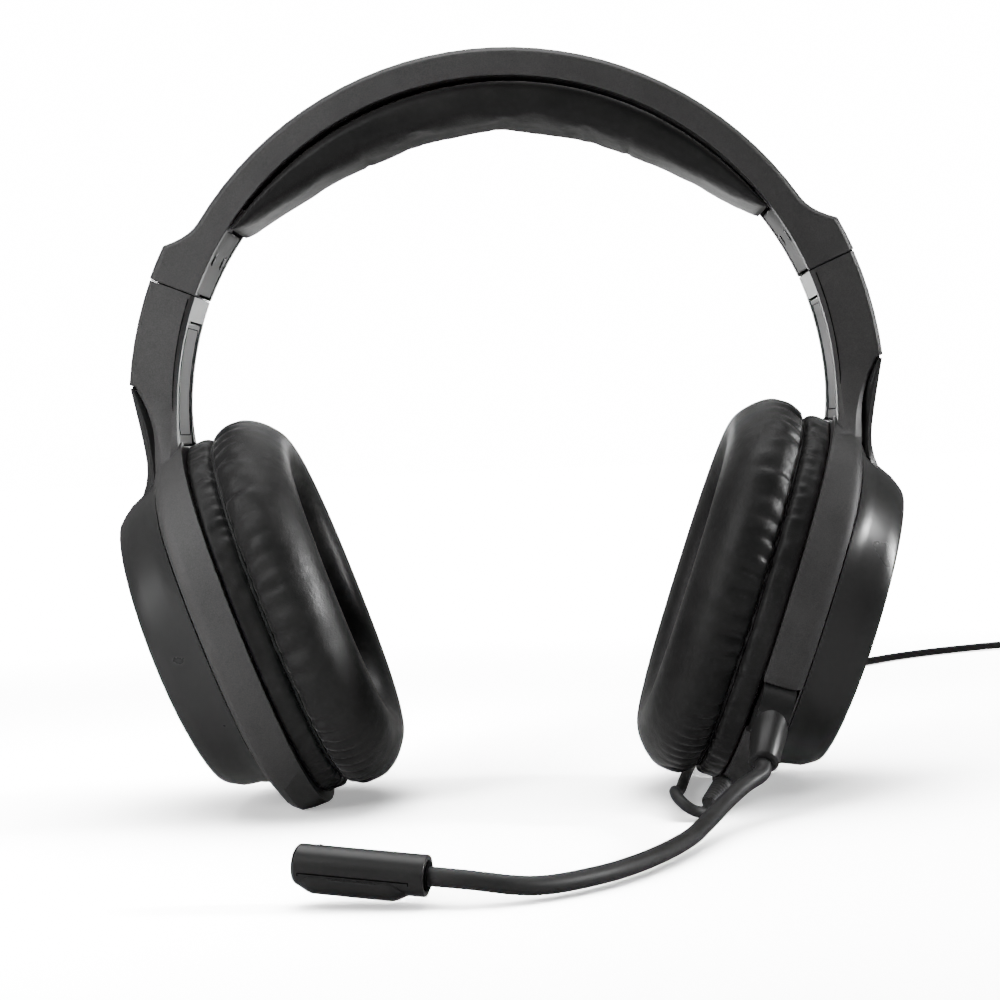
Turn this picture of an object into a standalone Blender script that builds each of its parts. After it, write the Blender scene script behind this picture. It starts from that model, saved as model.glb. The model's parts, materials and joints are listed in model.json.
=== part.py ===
"""Gaming headset: an arched headband, two sliding ear cups, a pivoting boom microphone and a corded jack.

Metres, +Z up. The headset stands on its two cups, its front faces -Y, and +X is the wearer's left.
"""

import math

import bmesh
import bpy
from mathutils import Matrix, Vector

# --- driving dimensions -------------------------------------------------------------------------
ARCH_HEIGHT = 0.0984  # centre of the headband arc above the surface it stands on
BAND_OUTER = 0.0910
BAND_HALF_WIDTH = 0.0165
CROWN_THICKNESS = 0.0072
SEAM_THICKNESS = 0.0108
ARM_OUTER = 0.0957
ARM_INNER = 0.0835
ARM_HALF_WIDTH = 0.0135
SEAM_ANGLE = 22.8  # degrees above the horizontal through the arc's centre
SHOULDER_TOP = 28.2
SHOULDER_FOOT = 34.0
NOTCH_ANGLE = 6.2  # where the cup's outer cover begins on the arm
ARM_FOOT = -11.5  # where the arm has run into the cup
ARM_FOOT_HALF_WIDTH = 0.0270
WAIST_ANGLE = -5.0  # the tongue's narrowest place
WAIST_RADIUS = 0.0917
TONGUE_FOOT = -12.5
CUP_TILT = 19.5  # degrees from the vertical
CUP_CENTRE = -0.0254  # along the cup's long axis, from the foot of the arc's radius
CUP_HALF_HEIGHT = 0.0501
CUP_HALF_WIDTH = 0.0400
RIM_PLANE = 0.1015  # planes across the cup's axis, by distance from the arc's centre
RIDGE_PLANE = 0.0885
SHELL_PLANE = 0.0788
BAFFLE_PLANE = 0.0802
PAD_SEAM_PLANE = 0.0722
PAD_FACE_PLANE = 0.0545
DISC_RADIUS = 0.0362
GAP = 0.0003
WALL = 0.0024
BOOM_PLANE = 0.0833
SLEEVE_RADIUS = 0.0044
SLEEVE_LENGTH = 0.0190
KNUCKLE_RADIUS = 0.0067
GOOSENECK_RADIUS = 0.0020
MIC_RADIUS = 0.0042
MIC_LENGTH = 0.0275
CABLE_RADIUS = 0.0014
COIL_RADIUS = 0.0180
COIL_HALF_WIDTH = 0.0062
COIL_HEIGHT = 0.0110
FORWARD_SHIFT = 0.0526  # moves the whole headset back, so that the origin is under its middle

# The boom's centre line and the cable's route, chosen by hand.
BOOM_ROUTE = [
    (0.0530, -0.0570, 0.0092),
    (0.0478, -0.0655, 0.0066),
    (0.0432, -0.0765, 0.0044),
    (0.0375, -0.0930, 0.0032),
    (0.0285, -0.1130, 0.0029),
    (0.0179, -0.1290, 0.0029),
    (0.0050, -0.1395, 0.0032),
]
MIC_START = (-0.0160, -0.1410, 0.0061)
MIC_TURN = 168.0  # direction of the capsule's axis, degrees from +X
MIC_RISE = 5.0  # degrees above the horizontal
BEND_POINT = 4  # the route's point that the gooseneck's bend is centred on
RELIEF_START = (0.0500, -0.0245, 0.0046)
RELIEF_END = (0.0455, -0.0400, 0.0026)
CABLE_ROUTE = [
    (0.0446, -0.0455, 0.0018),
    (0.0425, -0.0495, 0.0015),
    (0.0390, -0.0500, 0.0015),
    (0.0368, -0.0470, 0.0015),
    (0.0364, -0.0410, 0.0015),
    (0.0376, -0.0300, 0.0015),
    (0.0400, -0.0080, 0.0015),
    (0.0440, 0.0250, 0.0015),
    (0.0500, 0.0700, 0.0015),
    (0.0590, 0.1200, 0.0015),
    (0.0740, 0.1800, 0.0015),
    (0.0950, 0.2400, 0.0015),
    (0.1210, 0.2900, 0.0015),
    (0.1530, 0.3250, 0.0015),
    (0.1880, 0.3430, 0.0018),
    (0.2200, 0.3480, 0.0030),
]
COIL_CENTRE = (0.2300, 0.3245, 0.0012)

RIM_COUNT = 48
STRIP_STEP = 5.0


def clear_scene():
    for obj in list(bpy.data.objects):
        bpy.data.objects.remove(obj)


def make_collection(name, hidden=False):
    found = bpy.data.collections.new(name)
    bpy.context.scene.collection.children.link(found)
    found.hide_render = hidden
    return found


def make_material(name, colour, roughness, metallic=0.0):
    material = bpy.data.materials.new(name)
    material.use_nodes = True
    shader = material.node_tree.nodes["Principled BSDF"]
    shader.inputs["Base Color"].default_value = (*colour, 1.0)
    shader.inputs["Roughness"].default_value = roughness
    shader.inputs["Metallic"].default_value = metallic
    return material


clear_scene()
PARTS = make_collection("gaming_headset")
CUTTERS = make_collection("cutters", hidden=True)
SHELL_BLACK = make_material("shell_black", (0.030, 0.030, 0.031), 0.55)
SATIN_BLACK = make_material("satin_black", (0.024, 0.024, 0.025), 0.32)
LEATHERETTE = make_material("leatherette", (0.020, 0.020, 0.020), 0.45)
STEEL = make_material("steel", (0.52, 0.52, 0.54), 0.30, 1.0)
MESH_BLACK = make_material("mesh_black", (0.012, 0.012, 0.012), 0.90)
RUBBER = make_material("rubber", (0.016, 0.016, 0.017), 0.60)
BOARD_GREEN = make_material("board_green", (0.010, 0.090, 0.035), 0.50)
GOLD = make_material("contact_gold", (0.85, 0.62, 0.26), 0.25, 1.0)


# --- frames -------------------------------------------------------------------------------------
def on_arc(radius, degrees, y=0.0):
    """A point on the headband's arc, by angle from +X towards +Z."""
    angle = math.radians(degrees)
    return Vector((radius * math.cos(angle), y, ARCH_HEIGHT + radius * math.sin(angle)))


TILT = math.radians(CUP_TILT)
OUTWARD = Vector((math.cos(TILT), 0.0, -math.sin(TILT)))
UPWARD = Vector((math.sin(TILT), 0.0, math.cos(TILT)))
ARC_CENTRE = Vector((0.0, 0.0, ARCH_HEIGHT))


def in_cup(plane, up, y):
    """A point of the +X cup, by its distance out from the arc's centre and up from the cup's middle."""
    return ARC_CENTRE + OUTWARD * plane + UPWARD * (CUP_CENTRE + up) + Vector((0.0, y, 0.0))


# --- solids -------------------------------------------------------------------------------------
def finish(name, mesh, material, collection=None):
    obj = bpy.data.objects.new(name, mesh)
    (collection or PARTS).objects.link(obj)
    if material:
        mesh.materials.append(material)
    return obj


def mesh_from(name, bm):
    bmesh.ops.recalc_face_normals(bm, faces=bm.faces)
    mesh = bpy.data.meshes.new(name)
    bm.to_mesh(mesh)
    bm.free()
    return mesh


def loft(name, rings, material, closed=False, collection=None):
    """A solid through rings of equal count: capped at both ends, or closed round on itself."""
    bm = bmesh.new()
    loops = [[bm.verts.new(point) for point in ring] for ring in rings]
    pairs = list(zip(loops, loops[1:]))
    if closed:
        pairs.append((loops[-1], loops[0]))
    for first, second in pairs:
        for index in range(len(first)):
            after = (index + 1) % len(first)
            bm.faces.new((first[index], first[after], second[after], second[index]))
    if not closed:
        bm.faces.new(loops[0])
        bm.faces.new(loops[-1])
    return finish(name, mesh_from(name, bm), material, collection)


def oval(half_height, half_width, power=2.3, count=RIM_COUNT):
    """Points (up, y) of a superellipse."""
    points = []
    for index in range(count):
        angle = 2 * math.pi * index / count
        c = math.cos(angle)
        s = math.sin(angle)
        points.append(
            (
                half_height * math.copysign(abs(c) ** (2 / power), c),
                half_width * math.copysign(abs(s) ** (2 / power), s),
            )
        )
    return points


def cup_ring(plane, half_height, half_width, power=2.3, shift=0.0, bend=0.0):
    """A ring across the cup's axis. Its top can bend in along the arm's arc, by a share from 0 to 1."""
    points = []
    for up, y in oval(half_height, half_width, power):
        along = max(0.0, CUP_CENTRE + up + shift)
        sag = bend * (plane - math.sqrt(plane**2 - along**2))
        points.append(in_cup(plane - sag, up + shift, y))
    return points


def rounded_rectangle(half_width, inner, outer, corner):
    """Points (y, radius) round a strip's section, with cut corners."""
    return [
        (-half_width + corner, outer),
        (half_width - corner, outer),
        (half_width, outer - corner),
        (half_width, inner + corner),
        (half_width - corner, inner),
        (-half_width + corner, inner),
        (-half_width, inner + corner),
        (-half_width, outer - corner),
    ]


def strip(name, stations, material, section=rounded_rectangle, collection=None):
    """A bent strip: stations are (angle, half width, inner radius, outer radius, corner)."""
    rings = []
    for degrees, *sizes in stations:
        rings.append([on_arc(radius, degrees, y) for y, radius in section(*sizes)])
    return loft(name, rings, material, collection=collection)


def angles(start, end, step=STRIP_STEP):
    count = max(1, round(abs(end - start) / step))
    return [start + (end - start) * index / count for index in range(count + 1)]


def even_strip(name, start, end, half_width, inner, outer, material, corner=0.0004, collection=None):
    stations = [(a, half_width, inner, outer, corner) for a in angles(start, end)]
    return strip(name, stations, material, collection=collection)


def turned(name, profile, centre, axis, material, steps=24):
    """A solid of revolution: profile holds (radius, distance along the axis) from one end to the other."""
    bm = bmesh.new()
    turn = Vector(axis).to_track_quat("Z", "Y").to_matrix()
    loops = []
    for radius, along in profile:
        if radius == 0:
            loops.append([bm.verts.new(Vector(centre) + turn @ Vector((0, 0, along)))])
            continue
        loop = []
        for index in range(steps):
            angle = 2 * math.pi * index / steps
            offset = Vector((radius * math.cos(angle), radius * math.sin(angle), along))
            loop.append(bm.verts.new(Vector(centre) + turn @ offset))
        loops.append(loop)
    ends = list(zip(loops, loops[1:]))
    if profile[0][0] and profile[-1][0]:
        ends.append((loops[-1], loops[0]))
    for first, second in ends:
        for index in range(steps):
            after = (index + 1) % steps
            corners = [first[index % len(first)], first[after % len(first)]]
            corners += [second[after % len(second)], second[index % len(second)]]
            bm.faces.new(list(dict.fromkeys(corners)))
    return finish(name, mesh_from(name, bm), material)


def boolean(obj, cutter, operation):
    """Applies a Boolean at once, and removes the cutter."""
    modifier = obj.modifiers.new("cut", "BOOLEAN")
    modifier.operation = operation
    modifier.solver = "EXACT"
    modifier.object = cutter
    graph = bpy.context.evaluated_depsgraph_get()
    mesh = bpy.data.meshes.new_from_object(obj.evaluated_get(graph))
    obj.modifiers.remove(modifier)
    obj.data = mesh
    bpy.data.objects.remove(cutter)


def mirrored(obj, name):
    """The same piece for the other side of the head."""
    mesh = obj.data.copy()
    mesh.transform(Matrix.Scale(-1, 4, (1, 0, 0)))
    mesh.flip_normals()
    return finish(name, mesh, None)


def smooth_path(points, spacing):
    """Points read at an even spacing from a Catmull-Rom curve through the route's own points."""
    route = [Vector(p) for p in points]
    ends = [route[0] * 2 - route[1]] + route + [route[-1] * 2 - route[-2]]
    dense = []
    for index in range(1, len(ends) - 2):
        p0, p1, p2, p3 = ends[index - 1 : index + 3]
        for step in range(20):
            t = step / 20
            dense.append(
                0.5
                * (
                    2 * p1
                    + (p2 - p0) * t
                    + (2 * p0 - 5 * p1 + 4 * p2 - p3) * t * t
                    + (3 * p1 - p0 - 3 * p2 + p3) * t**3
                )
            )
    dense.append(route[-1])
    length = sum((b - a).length for a, b in zip(dense, dense[1:]))
    count = max(2, round(length / spacing))
    wanted = [length * index / count for index in range(count + 1)]
    result = []
    travelled = 0.0
    for a, b in zip(dense, dense[1:]):
        reach = (b - a).length
        while wanted and wanted[0] <= travelled + reach + 1e-9:
            result.append(a.lerp(b, min(1.0, (wanted[0] - travelled) / reach)))
            wanted.pop(0)
        travelled += reach
    return result


def tube(name, points, radius, material):
    """A round wire or cable with filled caps."""
    curve = bpy.data.curves.new(name, "CURVE")
    curve.dimensions = "3D"
    curve.bevel_depth = radius
    curve.bevel_resolution = 2
    curve.use_fill_caps = True
    spline = curve.splines.new("POLY")
    spline.points.add(len(points) - 1)
    for place, point in zip(spline.points, points):
        place.co = (*point, 1.0)
    obj = bpy.data.objects.new(name, curve)
    PARTS.objects.link(obj)
    curve.materials.append(material)
    return obj


# --- headband -----------------------------------------------------------------------------------
def band_inner(degrees):
    """The headband thickens from its crown to the seam."""
    away = abs(degrees - 90) / (90 - SEAM_ANGLE)
    return BAND_OUTER - CROWN_THICKNESS - (SEAM_THICKNESS - CROWN_THICKNESS - 0.0033) * away**2


def band_outer(degrees):
    """The headband steps out to the arm's radius in a hollow curve, up to a shoulder above each seam."""
    above_horizon = 90 - abs(degrees - 90)
    rise = min(1.0, max(0.0, (SHOULDER_FOOT - above_horizon) / (SHOULDER_FOOT - SHOULDER_TOP)))
    return BAND_OUTER + (ARM_OUTER - BAND_OUTER + 0.0003) * rise**2


def channel_section(half_width, inner, outer, corner):
    """Points (y, radius) round a channel that is open towards the head."""
    floor = outer - WALL
    side = half_width - WALL
    return [
        (-half_width + corner, outer),
        (half_width - corner, outer),
        (half_width, outer - corner),
        (half_width, inner),
        (side, inner),
        (side, floor),
        (-side, floor),
        (-side, inner),
        (-half_width, inner),
        (-half_width, outer - corner),
    ]


def band_half_width(degrees):
    away = abs(degrees - 90) / (90 - SEAM_ANGLE)
    return BAND_HALF_WIDTH - (BAND_HALF_WIDTH - ARM_HALF_WIDTH) * away**2


def make_headband():
    stations = []
    end = [SEAM_ANGLE + 0.1, 25.5, *angles(SHOULDER_TOP, SHOULDER_FOOT, 1.2)]
    middle = angles(SHOULDER_FOOT + 3.5, 180 - SHOULDER_FOOT - 3.5, 3.5)
    for a in end + middle + [180 - a for a in reversed(end)]:
        stations.append((a, band_half_width(a), band_inner(a), band_outer(a), 0.0012))
    strip("headband_shell", stations, SHELL_BLACK, channel_section)
    stations = []
    for a in angles(40, 140, 5):
        side = band_half_width(a) - WALL - GAP
        stations.append((a, side, band_inner(a), band_inner(a) + 0.0014, 0.0003))
    strip("headband_liner", stations, SHELL_BLACK)
    even_strip("headband_spring", 52, 128, 0.0070, 0.0868, 0.0876, STEEL, 0.0002)
    stations = []
    for a in angles(36, 144, 4.5):
        away = abs(a - 90) / 54
        depth = 0.0086 * (1 - away**3.2) + 0.0016
        inner = band_inner(a) - GAP
        half_width = band_half_width(a) - 0.0008
        stations.append((a, half_width, inner - depth, inner, min(0.0030, depth * 0.4)))
    strip("headband_cushion", stations, LEATHERETTE)
    wire = [on_arc(0.0868, a, 0.0102) for a in angles(54, 126, 4)]
    tube("crossover_wire", wire, 0.0007, RUBBER)
    for side in ("left", "right"):
        make_slider_cover(side)


def place_for(side, solid, name):
    """Keeps the +X piece for the left side, or swaps it for its mirror image on the right."""
    if side == "left":
        solid.name = name
        return solid
    other = mirrored(solid, name)
    bpy.data.objects.remove(solid)
    return other


def make_slider_cover(side):
    stations = []
    for a in angles(SEAM_ANGLE + 0.6, 35.4, 3):
        reach = band_half_width(a) - WALL - GAP
        stations.append((a, reach, band_inner(a) + 0.0002, band_inner(a) + 0.0015, 0.0003))
    place_for(side, strip("cover", stations, SATIN_BLACK), f"slider_cover_{side}")
    for row, y in (("front", -0.0070), ("rear", 0.0070)):
        head = band_inner(30) - 0.0009
        profile = [(0, 0), (0.0017, 0), (0.0017, 0.0008), (0, 0.0008)]
        screw = turned("screw", profile, on_arc(head, 30, y), on_arc(1, 30) - ARC_CENTRE, STEEL, 12)
        place_for(side, screw, f"slider_screw_{side}_{row}")


# --- ear cups -----------------------------------------------------------------------------------
def arm_inner(degrees):
    """The arm's inner radius. Beside the cup it keeps clear of the ear pad."""
    radius = ARM_INNER - 0.0010 * (SEAM_ANGLE - degrees) / (SEAM_ANGLE + 10)
    if degrees < -1:
        radius = max(radius, SHELL_PLANE / math.cos(math.radians(degrees + CUP_TILT)))
    return radius


def arm_outer(degrees):
    """The arm's outer radius. Below the notch it sinks in a hollow curve, to lie under the cap's tongue."""
    if degrees > NOTCH_ANGLE:
        return ARM_OUTER - 0.0005 * (SEAM_ANGLE - degrees) / (SEAM_ANGLE - NOTCH_ANGLE)
    sink = min(1.0, (NOTCH_ANGLE - degrees) / 9.0)
    return RIDGE_PLANE + (ARM_OUTER - 0.0019 - RIDGE_PLANE) * (1 - sink) ** 2


def arm_half_width(degrees):
    """The arm widens below the notch, and runs into the cup's outline without a step."""
    share = min(1.0, max(0.0, (5.0 - degrees) / (5.0 - ARM_FOOT)))
    blend = share**2 * (3 - 2 * share)
    return ARM_HALF_WIDTH + (ARM_FOOT_HALF_WIDTH - ARM_HALF_WIDTH) * blend + 0.0264 * (share**3 - share**2)


def make_arm_frame(side):
    """The arm and the cup's middle shell, moulded in one, hollow for the driver and the slider."""
    stations = []
    for a in angles(SEAM_ANGLE - 0.1, NOTCH_ANGLE + 0.3, 3) + angles(NOTCH_ANGLE, ARM_FOOT, 1.8):
        corner = 0.0010 if a > 0 else 0.0010 + 0.0018 * a / ARM_FOOT
        stations.append((a, arm_half_width(a), arm_inner(a), arm_outer(a), corner))
    frame = strip("frame", stations, SHELL_BLACK)
    lip = even_strip("lip", 20, SEAM_ANGLE + 1.0, 0.0104, 0.0872, 0.0930, None, collection=CUTTERS)
    boolean(frame, lip, "UNION")
    rings = [
        cup_ring(RIDGE_PLANE, CUP_HALF_HEIGHT - 0.0040, CUP_HALF_WIDTH - 0.0012, shift=0.0020, bend=1.0),
        cup_ring(RIDGE_PLANE - 0.0014, CUP_HALF_HEIGHT - 0.0012, CUP_HALF_WIDTH - 0.0002, shift=0.0006, bend=0.9),
        cup_ring(RIDGE_PLANE - 0.0034, CUP_HALF_HEIGHT, CUP_HALF_WIDTH, bend=0.5),
        cup_ring(SHELL_PLANE, CUP_HALF_HEIGHT, CUP_HALF_WIDTH),
    ]
    boolean(frame, loft("disc", rings, None, collection=CUTTERS), "UNION")
    inside = [
        cup_ring(RIDGE_PLANE + 0.0040, CUP_HALF_HEIGHT - 0.0100, CUP_HALF_WIDTH - 0.0045, shift=0.0030),
        cup_ring(RIDGE_PLANE - 0.0060, CUP_HALF_HEIGHT - 0.0035, CUP_HALF_WIDTH - 0.0030),
        cup_ring(SHELL_PLANE - 0.0020, CUP_HALF_HEIGHT - 0.0035, CUP_HALF_WIDTH - 0.0030),
    ]
    boolean(frame, loft("cavity", inside, None, collection=CUTTERS), "DIFFERENCE")
    low = ARM_INNER - 0.0030
    for start, end, depth in ((-3.6, 18.5, 0.0858), (11.5, 18.5, 0.0888)):
        recess = even_strip("recess", start, end, 0.0105, low, depth, None, collection=CUTTERS)
        boolean(frame, recess, "DIFFERENCE")
    slot = even_strip("slot", 17, 25, 0.0068, 0.0853, 0.0873, None, collection=CUTTERS)
    boolean(frame, slot, "DIFFERENCE")
    foot = foot_cutter()
    boolean(frame, foot, "DIFFERENCE")
    if side == "left":
        for cutter in (boom_pocket(), wheel_pocket()):
            boolean(frame, cutter, "DIFFERENCE")
    place_for(side, frame, f"arm_frame_{side}")


def foot_cutter():
    """Everything under the surface that the headset stands on, so that each cup rests on a true flat."""
    bm = bmesh.new()
    bmesh.ops.create_cube(bm, size=1.0)
    bmesh.ops.scale(bm, verts=bm.verts, vec=(0.2, 0.2, 0.05))
    bmesh.ops.translate(bm, verts=bm.verts, vec=(0.0, 0.0, -0.025))
    return finish("under_surface", mesh_from("under_surface", bm), None, CUTTERS)


def make_slider_rail(side):
    rail = even_strip("rail", 12.5, 47, 0.0062, 0.0857, 0.0869, STEEL, 0.0002)
    place_for(side, rail, f"slider_rail_{side}")


def make_arm_cover(side):
    stations = []
    for a in angles(-3.2, 18.1, 3):
        inner = arm_inner(a) + GAP
        stations.append((a, 0.0102, inner, inner + 0.0014, 0.0003))
    place_for(side, strip("cover", stations, SATIN_BLACK), f"arm_cover_{side}")


def tongue_outer(degrees):
    """The tongue's outer radius: from the arm's at its tip, through a waist, to the cap's flare."""
    rise = max(0.0, (degrees - WAIST_ANGLE) / (NOTCH_ANGLE - WAIST_ANGLE))
    flare = max(0.0, (WAIST_ANGLE - degrees) / 8.0)
    return WAIST_RADIUS + (ARM_OUTER - 0.0007 - WAIST_RADIUS) * rise**1.6 + 0.0062 * flare**2.2


def make_cup_cap(side):
    """The flared outer cover, with the tongue that runs up the arm to its notch."""
    low = RIDGE_PLANE + GAP
    rim = RIM_PLANE
    disc = DISC_RADIUS
    outside = [
        (low, 0.0440, 0.0388, 2.3, 0.0026, 1.0),
        (low + 0.0018, 0.0416, 0.0384, 2.2, 0.0014, 0.8),
        (low + 0.0045, 0.0402, 0.0378, 2.1, 0.0010, 0.4),
        (low + 0.0090, 0.0388, 0.0372, 2.05, 0.0004, 0.1),
        (rim - 0.0010, 0.0371, 0.0368, 2.0, 0.0002, 0.0),
        (rim, disc, disc, 2.0, 0.0002, 0.0),
        (rim, disc - 0.0016, disc - 0.0016, 2.0, 0.0, 0.0),
        (rim - 0.0030, disc - 0.0020, disc - 0.0020, 2.0, 0.0, 0.0),
        (rim - 0.0030, disc - 0.0050, disc - 0.0050, 2.0, 0.0, 0.0),
        (low + 0.0026, disc - 0.0036, disc - 0.0036, 2.1, 0.0004, 0.7),
        (low, 0.0382, 0.0348, 2.2, 0.0020, 1.0),
    ]
    rings = [cup_ring(*sizes) for sizes in outside]
    cap = loft("cap", rings, SATIN_BLACK, closed=True)
    stations = []
    for a in angles(NOTCH_ANGLE - 0.2, TONGUE_FOOT, 1.7):
        half_width = ARM_HALF_WIDTH - GAP - 0.0020 * ((NOTCH_ANGLE - a) / (NOTCH_ANGLE - TONGUE_FOOT)) ** 2
        inner = arm_outer(a) + GAP
        outer = tongue_outer(a)
        stations.append((a, half_width, inner, outer, min(0.0016, (outer - inner) * 0.4)))
    boolean(cap, strip("tongue", stations, None, collection=CUTTERS), "UNION")
    place_for(side, cap, f"cup_cap_{side}")


def make_cap_plate(side):
    """The disc set into the cap's rim, with a shallow dish."""
    top = RIM_PLANE - 0.0030 + GAP
    radius = DISC_RADIUS - 0.0020 - GAP
    profile = [(0, 0), (radius, 0), (radius, 0.0018), (radius - 0.0008, 0.0023)]
    profile += [(radius - 0.0050, 0.0023), (radius - 0.0068, 0.0013), (0, 0.0011)]
    plate = turned("plate", profile, in_cup(top, 0, 0), OUTWARD, SATIN_BLACK, 40)
    place_for(side, plate, f"cap_plate_{side}")


def make_driver(side):
    """Baffle plate, driver basket, magnet and diaphragm, and the screws that hold the baffle."""
    half_height = CUP_HALF_HEIGHT - 0.0035 - GAP
    half_width = CUP_HALF_WIDTH - 0.0030 - GAP
    edges = [(BAFFLE_PLANE + 0.0016, 1.0), (BAFFLE_PLANE - 0.0004, 1.0)]
    rings = [cup_ring(p, half_height * k, half_width * k) for p, k in edges]
    holes = []
    for p, _ in reversed(edges):
        holes.append([in_cup(p, 0.0212 * math.cos(t), 0.0212 * math.sin(t)) for t in ring_angles()])
    plate = loft("plate", rings + holes, SHELL_BLACK, closed=True)
    if side == "left":
        boolean(plate, boom_pocket(), "DIFFERENCE")
    place_for(side, plate, f"baffle_{side}")
    basket = [(0.0208, 0), (0.0208, 0.0030), (0.0150, 0.0060), (0.0118, 0.0060)]
    basket += [(0.0118, 0.0048), (0.0190, 0.0012), (0.0190, 0)]
    solid = turned("basket", basket, in_cup(BAFFLE_PLANE, 0, 0), OUTWARD, SHELL_BLACK, 24)
    place_for(side, solid, f"driver_basket_{side}")
    magnet = [(0, 0), (0.0114, 0), (0.0114, 0.0042), (0, 0.0042)]
    solid = turned("magnet", magnet, in_cup(BAFFLE_PLANE + 0.0022, 0, 0), OUTWARD, STEEL, 24)
    place_for(side, solid, f"driver_magnet_{side}")
    cone = [(0, 0.0012), (0.0080, 0.0010), (0.0186, 0.0002)]
    cone += [(0.0186, 0.0006), (0.0080, 0.0014), (0, 0.0016)]
    solid = turned("cone", cone, in_cup(BAFFLE_PLANE, 0, 0), OUTWARD, MESH_BLACK, 24)
    place_for(side, solid, f"driver_diaphragm_{side}")
    for number, turn in enumerate((90, 210, 330), 1):
        up = 0.0270 * math.sin(math.radians(turn))
        y = 0.0270 * math.cos(math.radians(turn))
        head = [(0, 0), (0.0020, 0), (0.0020, 0.0010), (0, 0.0010)]
        place = in_cup(BAFFLE_PLANE - 0.0004 - GAP, up, y)
        screw = turned("screw", head, place, -OUTWARD, STEEL, 12)
        place_for(side, screw, f"baffle_screw_{side}_{number}")


def ring_angles():
    return [2 * math.pi * index / RIM_COUNT for index in range(RIM_COUNT)]


def make_pad(side):
    """The plastic mounting ring, the soft ear pad and the mesh over the driver."""
    rows = [
        (SHELL_PLANE - GAP, -0.0010, -0.0004),
        (PAD_SEAM_PLANE + 0.0004, -0.0018, -0.0012),
        (PAD_SEAM_PLANE - 0.0040, 0.0008, 0.0008),
        (PAD_SEAM_PLANE - 0.0110, 0.0014, 0.0016),
        (PAD_FACE_PLANE + 0.0040, -0.0014, -0.0010),
        (PAD_FACE_PLANE + 0.0006, -0.0065, -0.0060),
        (PAD_FACE_PLANE, -0.0105, -0.0100),
        (PAD_FACE_PLANE + 0.0014, -0.0158, -0.0150),
        (PAD_FACE_PLANE + 0.0060, -0.0190, -0.0180),
        (PAD_SEAM_PLANE - 0.0020, -0.0185, -0.0176),
        (PAD_SEAM_PLANE + 0.0018, -0.0160, -0.0145),
        (PAD_SEAM_PLANE + 0.0018, -0.0090, -0.0080),
        (SHELL_PLANE - GAP, -0.0050, -0.0046),
    ]
    rings = [cup_ring(p, CUP_HALF_HEIGHT + h - 0.0012, CUP_HALF_WIDTH + w - 0.0006) for p, h, w in rows]
    place_for(side, loft("pad", rings, LEATHERETTE, closed=True), f"ear_pad_{side}")
    low = PAD_SEAM_PLANE + 0.0022
    outer = (0.0375, 0.0298)
    inner = (0.0330, 0.0255)
    sizes = [(low, *outer), (low, *inner), (low + 0.0018, *inner), (low + 0.0018, *outer)]
    rings = [cup_ring(p, h, w) for p, h, w in sizes]
    place_for(side, loft("ring", rings, SHELL_BLACK, closed=True), f"pad_mount_ring_{side}")
    rings = [cup_ring(p, 0.0325, 0.0250) for p in (low + 0.0002, low + 0.0012)]
    place_for(side, loft("mesh", rings, MESH_BLACK), f"ear_mesh_{side}")


# --- boom microphone ----------------------------------------------------------------------------
PIVOT = in_cup(BOOM_PLANE, -0.0240, -0.0344)
BOOM_DIRECTION = (-UPWARD * 0.79 + Vector((0.0, -1.0, 0.0))).normalized()
MIC_LEVEL = Vector((math.cos(math.radians(MIC_TURN)), math.sin(math.radians(MIC_TURN)), 0.0))
MIC_AXIS = (MIC_LEVEL + Vector((0.0, 0.0, math.tan(math.radians(MIC_RISE))))).normalized()
MIC_SIDE = Vector((0.0, 0.0, 1.0)).cross(MIC_LEVEL)
MIC_UP = MIC_AXIS.cross(MIC_SIDE)


def boom_pocket():
    """The pocket in the cup's edge that the boom's head turns in."""
    half = SLEEVE_RADIUS + GAP
    radius = KNUCKLE_RADIUS + 0.0004
    profile = [(0, -half), (radius, -half), (radius, half), (0, half)]
    return turned("pocket", profile, PIVOT, OUTWARD, None, 40)


def make_boom():
    """The pivoting sleeve, its pin and the gooseneck."""
    half = SLEEVE_RADIUS
    profile = [(0, -half), (half * 0.5, -half * 0.86), (half * 0.86, -half * 0.5), (half, 0)]
    end = half - 0.0008
    profile += [(half, 0.0080), (end, SLEEVE_LENGTH - 0.0006)]
    profile += [(end - 0.0006, SLEEVE_LENGTH), (0, SLEEVE_LENGTH)]
    sleeve = turned("boom_sleeve", profile, PIVOT, BOOM_DIRECTION, SHELL_BLACK)
    disc = [(0, -0.0040), (KNUCKLE_RADIUS, -0.0040), (KNUCKLE_RADIUS, 0.0040), (0, 0.0040)]
    boolean(sleeve, turned("knuckle", disc, PIVOT, OUTWARD, None, 40), "UNION")
    bore = [(0, -0.01), (0.0015, -0.01), (0.0015, 0.01), (0, 0.01)]
    boolean(sleeve, turned("bore", bore, PIVOT, OUTWARD, None, 16), "DIFFERENCE")
    pin = [(0, -0.0041), (0.0012, -0.0041), (0.0012, 0.0041), (0, 0.0041)]
    turned("boom_pivot_pin", pin, PIVOT, OUTWARD, STEEL, 16)
    tip = PIVOT + BOOM_DIRECTION * (SLEEVE_LENGTH + 2 * GAP)
    start = Vector(MIC_START)
    route = [tip, tip + BOOM_DIRECTION * 0.0030] + BOOM_ROUTE
    route += [start - MIC_AXIS * 0.0080, start + MIC_AXIS * 0.0020]
    tube("gooseneck", smooth_path(route, 0.0045), GOOSENECK_RADIUS, RUBBER)


def box_ring(centre, right, up, half_right, half_up):
    signs = ((-1, -1), (1, -1), (1, 1), (-1, 1))
    return [centre + right * half_right * a + up * half_up * b for a, b in signs]


# The port cover's rows: how far below the capsule, half length, half width.
PORT_COVER_ROWS = ((0.0003, 0.0112, 0.0026), (0.0008, 0.0106, 0.0026), (0.0014, 0.0086, 0.0018))


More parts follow.
